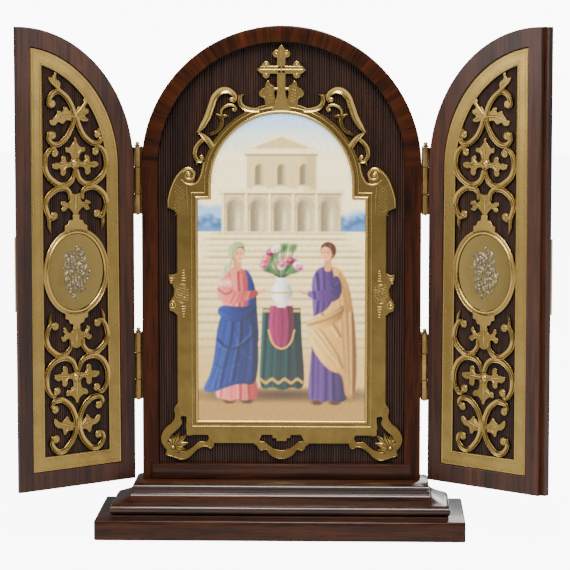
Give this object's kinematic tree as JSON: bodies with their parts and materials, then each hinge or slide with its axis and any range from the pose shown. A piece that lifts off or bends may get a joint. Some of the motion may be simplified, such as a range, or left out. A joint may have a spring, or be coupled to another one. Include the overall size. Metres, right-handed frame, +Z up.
{
  "type": "travel altar",
  "caption": "Arched hardwood travel altar on a moulded plinth, with hinged half-arch doors, pierced brass grilles and a gilt mount framing a painted porcelain plaque.",
  "frame": {"origin": "centre of the plinth slab's underside", "axes": "+Z up, -Y towards the open front, +X to the right door as the viewer sees it"},
  "size_m": [0.468, 0.1488, 0.4537],
  "materials": {
    "plinth_wood": "polished dark hardwood with worn edges",
    "case_wood": "polished reddish veneer",
    "door_wood": "polished reddish dark hardwood",
    "reeded_wood": "fine vertical reeds, dark satin",
    "gilt_brass": "chased and gilded, with dark in the hollows",
    "hinge_brass": "dull aged brass",
    "silvered_metal": "silvered low relief",
    "painted_porcelain": "painted scene under a clear glaze"
  },
  "bodies": {
    "altar": {"plinth_slab": "plinth_wood", "plinth_moulding": "plinth_wood", "case_rim": "case_wood", "bottom_rail": "case_wood", "reeded_panel": "reeded_wood", "gilt_mount": "gilt_brass", "porcelain_plaque": "painted_porcelain", "left_lower_hinge_case_leaf": "hinge_brass", "left_lower_hinge_pin": "hinge_brass", "left_upper_hinge_case_leaf": "hinge_brass", "left_upper_hinge_pin": "hinge_brass", "right_lower_hinge_case_leaf": "hinge_brass", "right_lower_hinge_pin": "hinge_brass", "right_upper_hinge_case_leaf": "hinge_brass", "right_upper_hinge_pin": "hinge_brass"},
    "left_door": {"left_door_board": "door_wood", "left_door_ground": "reeded_wood", "left_door_grille": "gilt_brass", "left_medallion": "gilt_brass", "left_medallion_spray": "silvered_metal", "left_upper_boss": "gilt_brass", "left_lower_boss": "gilt_brass", "left_closing_plate": "hinge_brass", "left_lower_hinge_door_leaf": "hinge_brass", "left_upper_hinge_door_leaf": "hinge_brass"},
    "right_door": {"right_door_board": "door_wood", "right_door_ground": "reeded_wood", "right_door_grille": "gilt_brass", "right_medallion": "gilt_brass", "right_medallion_spray": "silvered_metal", "right_upper_boss": "gilt_brass", "right_lower_boss": "gilt_brass", "right_closing_plate": "hinge_brass", "right_lower_hinge_door_leaf": "hinge_brass", "right_upper_hinge_door_leaf": "hinge_brass"}
  },
  "joints": [
    {"name": "left_door_hinge", "type": "hinge", "parent": "altar", "child": "left_door", "pos_m": [-0.1285, -0.005, 0.25], "axis": [0, 0, 1], "range_deg": [-41, 139]},
    {"name": "right_door_hinge", "type": "hinge", "parent": "altar", "child": "right_door", "pos_m": [0.1285, -0.005, 0.25], "axis": [0, 0, -1], "range_deg": [-41, 139]}
  ]
}
